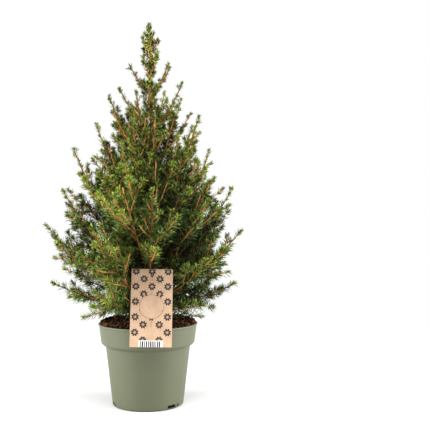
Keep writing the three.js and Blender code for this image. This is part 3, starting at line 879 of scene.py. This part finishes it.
def growMass(name, stem, draw, twigShare, firstTwig):
    own = addShoot(stem, 0, 0, 1.0, name, 0)
    length = own["length"]
    fineDraw = seededDraws(sum(map(ord, name)) * 7 + len(name))
    addSpurs(own, name, fineDraw)
    roll = draw() * 2 * math.pi
    way = firstTwig
    while way < length - growth["freeTip"]:
        roll += math.radians(growth["twigTurn"])
        ahead = length - way - growth["whip"]
        wanted = min(growth["twigLongest"], ahead * twigShare) * between(draw, *growth["twigUneven"])
        wanted = max(wanted, growth["twigShortest"] * growth["leastTwig"])
        growSideTwig("main", stem, way / length, roll, wanted, name, fineDraw)
        way += growth["twigGap"]
    if name == "leader":
        growLeaderTwigs(stem, length, name, fineDraw)
    else:
        growBetween(stem, length, name, fineDraw)


def growBetween(stem, length, name, draw):
    for step in range(max(0, int((length - finer["whip"]) / growth["twigGap"]))):
        way = finer["betweenFirst"] + (step + draw()) * growth["twigGap"]
        ahead = length - way - finer["whip"]
        wanted = min(finer["betweenLongest"], ahead) * between(draw, *finer["betweenUneven"])
        roll = draw() * 2 * math.pi
        growSideTwig("between", stem, way / length, roll, max(wanted, finer["betweenLeast"]), name, draw)


def growLeaderTwigs(stem, length, name, draw, beyond=0):
    roll = 0
    way = finer["leaderGap"]
    while way < length - finer["leaderFreeTip"]:
        roll += math.radians(growth["twigTurn"])
        ahead = length - way + beyond
        wanted = (finer["leaderTwig"] + ahead * finer["leaderShare"]) * between(draw, *finer["leaderUneven"])
        growSideTwig("leader", stem, way / length, roll, wanted, name, draw)
        way += finer["leaderGap"]


# the trunk's youngest wood bears needles and spurs of its own
def growOnTrunk():
    low, high = leafy["from"], trunk["top"]
    young = addShoot(np.array([trunkPoint(h) for h in (low, (low + high) / 2, high)]), 0, 0, 0, "trunk", 0)
    draw = seededDraws(leafy["seed"])
    for _ in range(leafy["spurRounds"]):
        addSpurs(young, "trunk", draw)
    growLeaderTwigs(young["curve"], young["length"], "trunk", draw, leafy["beyond"])


def growLesserBoughs():
    draw = seededDraws(lesser["seed"])
    bareSide = math.cos(math.radians(lesser["bareSide"]))
    for i in range(lesser["count"]):
        share = ((i + draw()) / lesser["count"]) ** lesser["closerLow"]
        height = lesser["from"] + (lesser["to"] - lesser["from"]) * share
        azimuth = math.radians(growth["twigTurn"] * i)
        reach = lookUp(lesser["reach"], height) * between(draw, *lesser["reachUneven"])
        climb = reach * lookUp(lesser["climb"], height) * between(draw, *lesser["climbUneven"])
        curve = boughCurve(trunkPoint(height), azimuth, reach, climb)
        bare = height > lesser["bareFrom"] and math.sin(azimuth) < -bareSide
        if not bare and hasRoom(curveAt(curve, lesser["checks"]), None, 0).all():
            foot, orders = lesser["twigged" if reach > lesser["twiggedFrom"] else "plain"]
            growTwig(curve, foot, None, draw, orders)


def growCrown():
    for bough in boughs:
        stem = stretchOf(bough["curve"], bough["bare"], 1.0)
        firstTwig = growth["firstTwig" if bough["bare"] else "firstTwigAtTrunk"]
        growMass(bough["name"], stem, bough["draw"], bough["twigShare"], firstTwig)
    growMass("leader", leaderCurve, seededDraws(leader["seed"]), leader["twigShare"], leader["firstTwig"])
    growOnTrunk()
    growLesserBoughs()
    print("crown grown:", len(shoots), "shoots,", round(sum(s["length"] for s in shoots) / 1000, 1), "m")


# bark

bark = {"scaleEdge": 3.2, "crackDepth": 0.6, "swell": 0.5, "swellWide": 2.5, "blotch": 6.25}


# two directions square to each tangent of a limb, from a reference well off its own direction
def limbFrames(tangents):
    middle = tangents.mean(0)
    reference = np.array([1.0, 0, 0]) if abs(middle[0]) < 0.6 else np.array([0, 1.0, 0])
    first = unit(np.cross(tangents, reference))
    return first, np.cross(tangents, first)


# a limb of rings along its middle line, its skin raised and cracked into scales
def barkLimb(bm, points, firsts, seconds, radii, skin):
    steps = len(points) - 1
    grid = bmesh.ops.create_grid(bm, x_segments=steps, y_segments=skin["sides"], size=0.5)["verts"]
    for vert in grid:
        station = round((vert.co.x + 0.5) * steps)
        angle = (vert.co.y + 0.5) * 2 * math.pi
        outwards = firsts[station] * math.cos(angle) + seconds[station] * math.sin(angle)
        spot = Vector(points[station] + outwards * radii(station, angle))
        inFlakes = Vector((spot.x, spot.y, spot.z / skin["stretch"])) / skin["flake"]
        near, second = noise.voronoi(inFlakes)[0][:2]
        swell = bark["swell"] * noise.noise(spot / (skin["flake"] * bark["swellWide"]))
        raised = min(1, (second - near) * bark["scaleEdge"]) - bark["crackDepth"] + swell
        vert.co = spot + Vector(outwards) * skin["relief"] * raised


def closeEnds(bm):
    bmesh.ops.remove_doubles(bm, verts=bm.verts, dist=weld)
    ends = [edge for edge in bm.edges if len(edge.link_faces) == 1]
    bmesh.ops.holes_fill(bm, edges=ends, sides=0)


def makeTrunk():
    bm = bmesh.new()
    shares = np.linspace(0, 1, trunk["steps"] + 1) ** trunk["closerLow"]
    heights = soil["crown"] - trunk["sunk"] + (trunk["top"] - soil["crown"] + trunk["sunk"]) * shares
    points = np.array([trunkPoint(max(h, soil["crown"])) for h in heights])
    points[:, 2] = heights
    firsts, seconds = np.tile([1.0, 0, 0], (len(points), 1)), np.tile([0, 1.0, 0], (len(points), 1))

    # round, with flutes at the foot and a collar round each bough
    def radii(station, angle):
        height = heights[station]
        radius = float(trunkRadius(max(height, soil["crown"])))
        flute = trunk["fluteDepth"] * math.sin(trunk["flutes"] * angle + 1)
        radius *= 1 + flute * math.exp(-(height - soil["crown"]) / trunk["fluteHeight"])
        for bough in boughs:
            rise = height - bough["curve"][0][2] - trunk["collarLift"]
            if abs(rise) < trunk["collarReach"]:
                off = (angle - bough["azimuth"] + math.pi) % (2 * math.pi) - math.pi
                reach = (rise / trunk["collarWide"]) ** 2 + (off * radius / trunk["collarWide"]) ** 2
                radius += trunk["collar"] * math.exp(-reach)
        return radius

    barkLimb(bm, points, firsts, seconds, radii, trunk)
    closeEnds(bm)
    finishPiece(bm, "trunk_bark", scalyBark("spruce_bark", trunk), ["trunk"], math.radians(60))


boughSkin = {
    "sides": 12, "stepLength": 2.2, "endsAt": 0.97, "tipRadius": 1.05, "taper": 0.75, "flare": 0.7,
    "flareLength": 5, "relief": 0.32, "flake": 2.6, "stretch": 1.0, "colours": ("#4e2c18", "#734523", "#9b683a"),
}


def makeBoughs():
    bm = bmesh.new()
    for bough in boughs:
        curve, foot, length = bough["curve"], bough["radius"], curveLength(bough["curve"])
        shares = np.linspace(0, boughSkin["endsAt"], int(length / boughSkin["stepLength"]) + 1)
        t = evenSteps(curve, shares)
        radii = foot + (boughSkin["tipRadius"] - foot) * shares ** boughSkin["taper"]
        radii *= 1 + boughSkin["flare"] * np.exp(-shares * length / boughSkin["flareLength"])
        firsts, seconds = limbFrames(tangentAt(curve, t))
        barkLimb(bm, curveAt(curve, t), firsts, seconds, lambda station, _: radii[station], boughSkin)
    closeEnds(bm)
    material = scalyBark("young_spruce_bark", boughSkin)
    nodes = [name for name in nodeNames if name.startswith("bough_")]
    finishPiece(bm, "boughs_bark", material, nodes, math.radians(60))
    print("trunk and boughs made")


# twigs and needles

# how far out in the crown a place is, from pairs of (height, value)
depth = {
    "outline": [(165, 150), (215, 180), (330, 190), (420, 150), (560, 80), (650, 38), (727, 12)],
    "shallow": [(200, 0.3), (320, 0.25), (430, 0)],  # how much nearer the outline is at the front
    "shade": 85,  # how far inside the outline the crown is fully shaded
    "most": 1.15,
}
twigLook = {
    # orange-brown one-year wood outside, duller and darker inside; the darker part is painted shade deep in the
    # crown
    "outer": "#b3793f", "inner": "#623a1d", "upper": "#bb823d", "outerFrom": 0.55, "upperFrom": 505,
    "steps": {0: 10, 1: 6, 2: 2}, "sides": {0: 6, 1: 5, 2: 3},  # by level
    "stub": 7, "thicker": 0.006, "taper": 0.8,
}
needle = {
    "length": (5.4, 8.2), "inside": 1.8, "wide": 0.76, "insideWide": 0.7, "shoulders": (0.3, 0.66), "fold": 130,
    "gap": 0.6, "leaderGap": 0.4,
    "kept": [(0, 0.38), (0.45, 0.56), (0.85, 0.48)],  # the share kept, by place in the crown
    # and how much closer and longer they are low down
    "closer": [(200, 1.2), (340, 1.22), (450, 1.12)], "longer": [(200, 1.48), (340, 1.38), (450, 1.05)],
    "lean": (26, 60), "insideLean": 16, "leanTip": (6, 50), "lift": 0.12, "offStem": 0.4,
    "tuft": 30, "spurTuft": 8, "tuftDepth": 9, "tuftShare": 0.7, "tuftCrowd": 1.4, "tuftLength": (5.4, 8.2),
    "spurShort": 0.65, "spurFull": 14,  # on spurs they are this much shorter, unless the spur is this long
    # which tone they have: the base, more towards the outline, as painted shade that darkens them deeper in the
    # crown, and by shoot, less in a tuft, and an uneven part
    "tone": 1.62, "toneOut": 1.7, "toneShoot": 1.35, "toneTuft": 0.15, "toneSpread": 1.35,
    "deeper": [(200, 0.05), (330, 0.1), (430, 0), (640, 0.8)],  # deeper low down and towards the leader
    # the share of needles with a grey bloom, by height, and how much less of it tufts and outer needles have
    "bloom": [(200, 0.95), (340, 0.85), (480, 0.3), (650, 0.1)], "tuftBloom": 0.25, "outerBloom": 0.6,
    "past": (0.02, 4),  # how far they may stand past the solids' box: a share of its side, and millimetres
    "mostTriangles": 190000, "atOnce": 4000, "seed": 20,
}
# from the shaded inside of the crown to this year's tips, without and with a grey bloom
needleTones = {
    "fresh": ["#0e1304", "#263008", "#475814", "#687b22", "#84982f", "#9fb042"],
    "grey": ["#0e1409", "#283718", "#49602f", "#6b8649", "#8da563", "#abbd80"],
}


# 0 deep in the crown to 1 at its outline
def outward(points, front=1):
    radius = np.hypot(points[..., 0], points[..., 1])
    facing = np.maximum(0, -points[..., 1] / np.maximum(radius, 1)) * front
    reach = lookUp(depth["outline"], points[..., 2]) * (1 - facing * lookUp(depth["shallow"], points[..., 2]))
    return np.clip(1 - (reach - radius) / depth["shade"], 0, depth["most"])


def makeTwigs():
    piles = {kind: ([], []) for kind in ("outer", "inner", "upper")}
    totals = dict.fromkeys(piles, 0)
    for shoot in shoots:
        level, length, curve = shoot["level"], shoot["length"], shoot["curve"]
        if level == 0 and shoot["mass"] != "leader":
            continue
        steps = 1 if length < twigLook["stub"] else twigLook["steps"][level]
        sides = twigLook["sides"][level]
        shares = np.linspace(0, 1, steps + 1)
        foot = trunk["topRadius"] if level == 0 else shoot["foot"] + length * twigLook["thicker"]
        radii = foot + (shoot["tip"] - foot) * shares ** twigLook["taper"]
        points = curveAt(curve, evenSteps(curve, shares))
        firsts, seconds = limbFrames(tangentAt(curve, shares))
        angles = (np.arange(sides) * 2 * math.pi / sides)[None, :, None]
        spokes = firsts[:, None] * np.cos(angles) + seconds[:, None] * np.sin(angles)
        rings = points[:, None] + radii[:, None, None] * spokes
        # the inner bark's darker colour, given by depth in the crown, is painted shade
        kind = "outer" if outward(points[-1]) > twigLook["outerFrom"] else "inner"
        if points[-1][2] > twigLook["upperFrom"]:
            kind = "upper"
        corners, faces = piles[kind]
        corners.append(rings.reshape(-1, 3))
        faces.append(np.array(tubeFaces(steps, sides)) + totals[kind])
        totals[kind] += (steps + 1) * sides
    for kind, (corners, faces) in piles.items():
        material = plainMaterial("twig_bark_" + kind, twigLook[kind], 0.7, 0.25)
        corners, faces = np.concatenate(corners), np.concatenate(faces)
        piece = arrayPiece("twigs_" + kind, corners, faces, material, smooth=True)
        print(piece.name, len(piece.data.polygons), "triangles")


def needlesOf(shoot, rng):
    curve, length, height = shoot["curve"], shoot["length"], shoot["curve"][1][2]
    gap = needle["leaderGap" if shoot["mass"] in ("leader", "trunk") else "gap"]
    ways = rng.uniform(0, 1, int(length / gap))
    kept = lookUp(needle["kept"], outward(curveAt(curve, ways))) * lookUp(needle["closer"], height)
    ways = ways[rng.uniform(0, 1, len(ways)) < kept]
    tuft = needle["tuft" if shoot["level"] < 2 else "spurTuft"]
    tuftDepth = min(needle["tuftDepth"], length * needle["tuftShare"])
    tuftWays = 1 - rng.uniform(0, 1, tuft) ** needle["tuftCrowd"] * tuftDepth / length
    isTuft = np.concatenate([np.zeros(len(ways), bool), np.ones(tuft, bool)])
    ways = np.concatenate([ways, tuftWays])
    number = len(ways)
    t = evenSteps(curve, ways)
    spot, along = curveAt(curve, t), tangentAt(curve, t)
    place = outward(spot)
    inner = 1 - np.minimum(1, outward(spot, 0))

    # they stand round the stem and lean forward, most of all in its tuft
    firsts, seconds = limbFrames(along)
    roll = rng.uniform(0, 2 * math.pi, number)
    out = firsts * np.cos(roll)[:, None] + seconds * np.sin(roll)[:, None]
    lean = rng.uniform(*needle["lean"], number) + needle["insideLean"] * inner
    lean = np.radians(np.where(isTuft, rng.uniform(*needle["leanTip"], number), lean))
    heading = unit(out * np.sin(lean)[:, None] + along * np.cos(lean)[:, None] + up * needle["lift"])
    base = spot + out * needle["offStem"]

    # longer low down and inside the crown, and shorter on a spur
    tuftSize = rng.uniform(*needle["tuftLength"], number)
    size = rng.uniform(*needle["length"], number) * lookUp(needle["longer"], height)
    size = np.where(isTuft, tuftSize, size) * (1 + (needle["inside"] - 1) * inner)
    if shoot["level"] == 2:
        size *= needle["spurShort"] + (1 - needle["spurShort"]) * min(1, length / needle["spurFull"])
    wide = needle["wide"] + (needle["insideWide"] - needle["wide"]) * inner

    # the part by place is painted shade: needles deep in the crown take darker tones
    tone = needle["tone"] + place * needle["toneOut"] + shoot["tone"] * needle["toneShoot"]
    tone = tone + rng.normal(0, needle["toneSpread"], number) - isTuft * needle["toneTuft"]
    tone = tone - lookUp(needle["deeper"], spot[:, 2])
    tone = np.clip(tone, 0, len(needleTones["fresh"]) - 1e-3).astype(int)
    bloom = lookUp(needle["bloom"], spot[:, 2]) * (1 - needle["outerBloom"] * place)
    grey = rng.uniform(0, 1, number) < bloom * np.where(isTuft, needle["tuftBloom"], 1)
    return base, heading, size, wide, tone, grey


def makeNeedles():
    rng = np.random.default_rng(needle["seed"])
    parts = [needlesOf(shoot, rng) for shoot in shoots]
    columns = [np.concatenate(column) for column in zip(*parts)]
    tips = columns[0] + columns[1] * columns[2][:, None]
    low, high = np.array(cadBox[0]) / mm, np.array(cadBox[1]) / mm
    past = needle["past"][0] * (high - low) + needle["past"][1]
    inside = ((tips > low - past) & (tips < high + past)).all(1)
    for start in range(0, len(tips), needle["atOnce"]):
        part = slice(start, start + needle["atOnce"])
        inside[part] &= hasRoom(tips[part], None, 0)
    base, heading, size, wide, tone, grey = (column[inside] for column in columns)

    # a needle is a slim four-sided sliver, folded along its length
    firsts = unit(np.cross(heading, rng.normal(size=heading.shape)))
    fold = math.radians(needle["fold"])
    seconds = firsts * math.cos(fold) + np.cross(heading, firsts) * math.sin(fold)
    blade = heading * size[:, None]
    shoulders = [base + blade * share + spoke * wide[:, None]
                 for share, spoke in zip(needle["shoulders"], (firsts, seconds))]
    corners = np.stack([base, *shoulders, base + blade], 1)
    triangles = [(0, 2, 1), (0, 1, 3), (1, 2, 3), (0, 3, 2)]
    masses = [name for name in nodeNames if name.startswith("foliage_")]
    most = needle["mostTriangles"] // len(triangles)
    print(len(corners), "needles,", len(corners) * len(triangles), "triangles")
    for kind, colours in needleTones.items():
        for level, colour in enumerate(colours):
            mine = corners[(tone == level) & (grey == (kind == "grey"))]
            name = kind + "_" + str(level + 1)
            material = plainMaterial("needle_" + name, colour, 0.55, 0.1)
            for part in range(math.ceil(len(mine) / most)):
                some = mine[part * most:(part + 1) * most]
                joinedPiece("needles_" + name + "_" + str(part + 1), some, triangles, material, masses)
                masses = []  # the first piece replaces them all


# floor, light and camera, in metres

studio = {"skyStrength": 1.0, "floorColour": "#c8c8c8", "floorRadius": 0.85, "aim": (0, 0, 0.36)}
softboxFields = ("name", "place", "size", "watts")
softboxes = [
    ("left", (-1.35, -0.25, 0.62), (0.9, 1.5), 47),
    ("right", (1.35, -0.25, 0.62), (0.9, 1.5), 42),
    ("top", (0.1, -0.7, 1.7), (0.9, 0.9), 26),
]
# the lens and place follow from the pot's ellipses in the photograph
photoCamera = {"distance": 1.4, "height": 0.359, "turn": 5.228, "lens": 61.1, "sensor": 36}


def makeStudio():
    world = bpy.data.worlds.new("studio")
    bpy.context.scene.world = world
    world.use_nodes = True
    setInputs(world.node_tree, world.node_tree.nodes["Background"], {
        "Color": (1, 1, 1, 1), "Strength": studio["skyStrength"]})
    bpy.context.scene.view_settings.view_transform = "Standard"

    bm = bmesh.new()
    bmesh.ops.create_circle(bm, cap_ends=True, segments=64, radius=studio["floorRadius"])
    mesh = bpy.data.meshes.new("floor")
    bm.to_mesh(mesh)
    bm.free()
    mesh.materials.append(plainMaterial("studio_floor", studio["floorColour"], 1.0, 0.0))
    floor = addObject("floor", mesh)

    for values in softboxes:
        box = dict(zip(softboxFields, values))
        light = bpy.data.lights.new("softbox_" + box["name"], "AREA")
        light.shape, light.size, light.size_y, light.energy = "RECTANGLE", *box["size"], box["watts"]
        lamp = addObject("softbox_" + box["name"], light)
        lamp.location = box["place"]
        lamp.rotation_euler = (Vector(studio["aim"]) - lamp.location).to_track_quat("-Z", "Y").to_euler()

    lens = bpy.data.cameras.new("photo_camera")
    lens.lens, lens.sensor_width, lens.sensor_fit = photoCamera["lens"], photoCamera["sensor"], "HORIZONTAL"
    camera = addObject("photo_camera", lens)
    camera.location = (0, -photoCamera["distance"], photoCamera["height"])
    camera.rotation_euler = (math.pi / 2, 0, -math.radians(photoCamera["turn"]))
    bpy.context.scene.camera = camera
    print("studio made")


makeStudio()
makePot()
makeSoil()
makeCard()
growCrown()
makeTrunk()
makeBoughs()
makeTwigs()
makeNeedles()
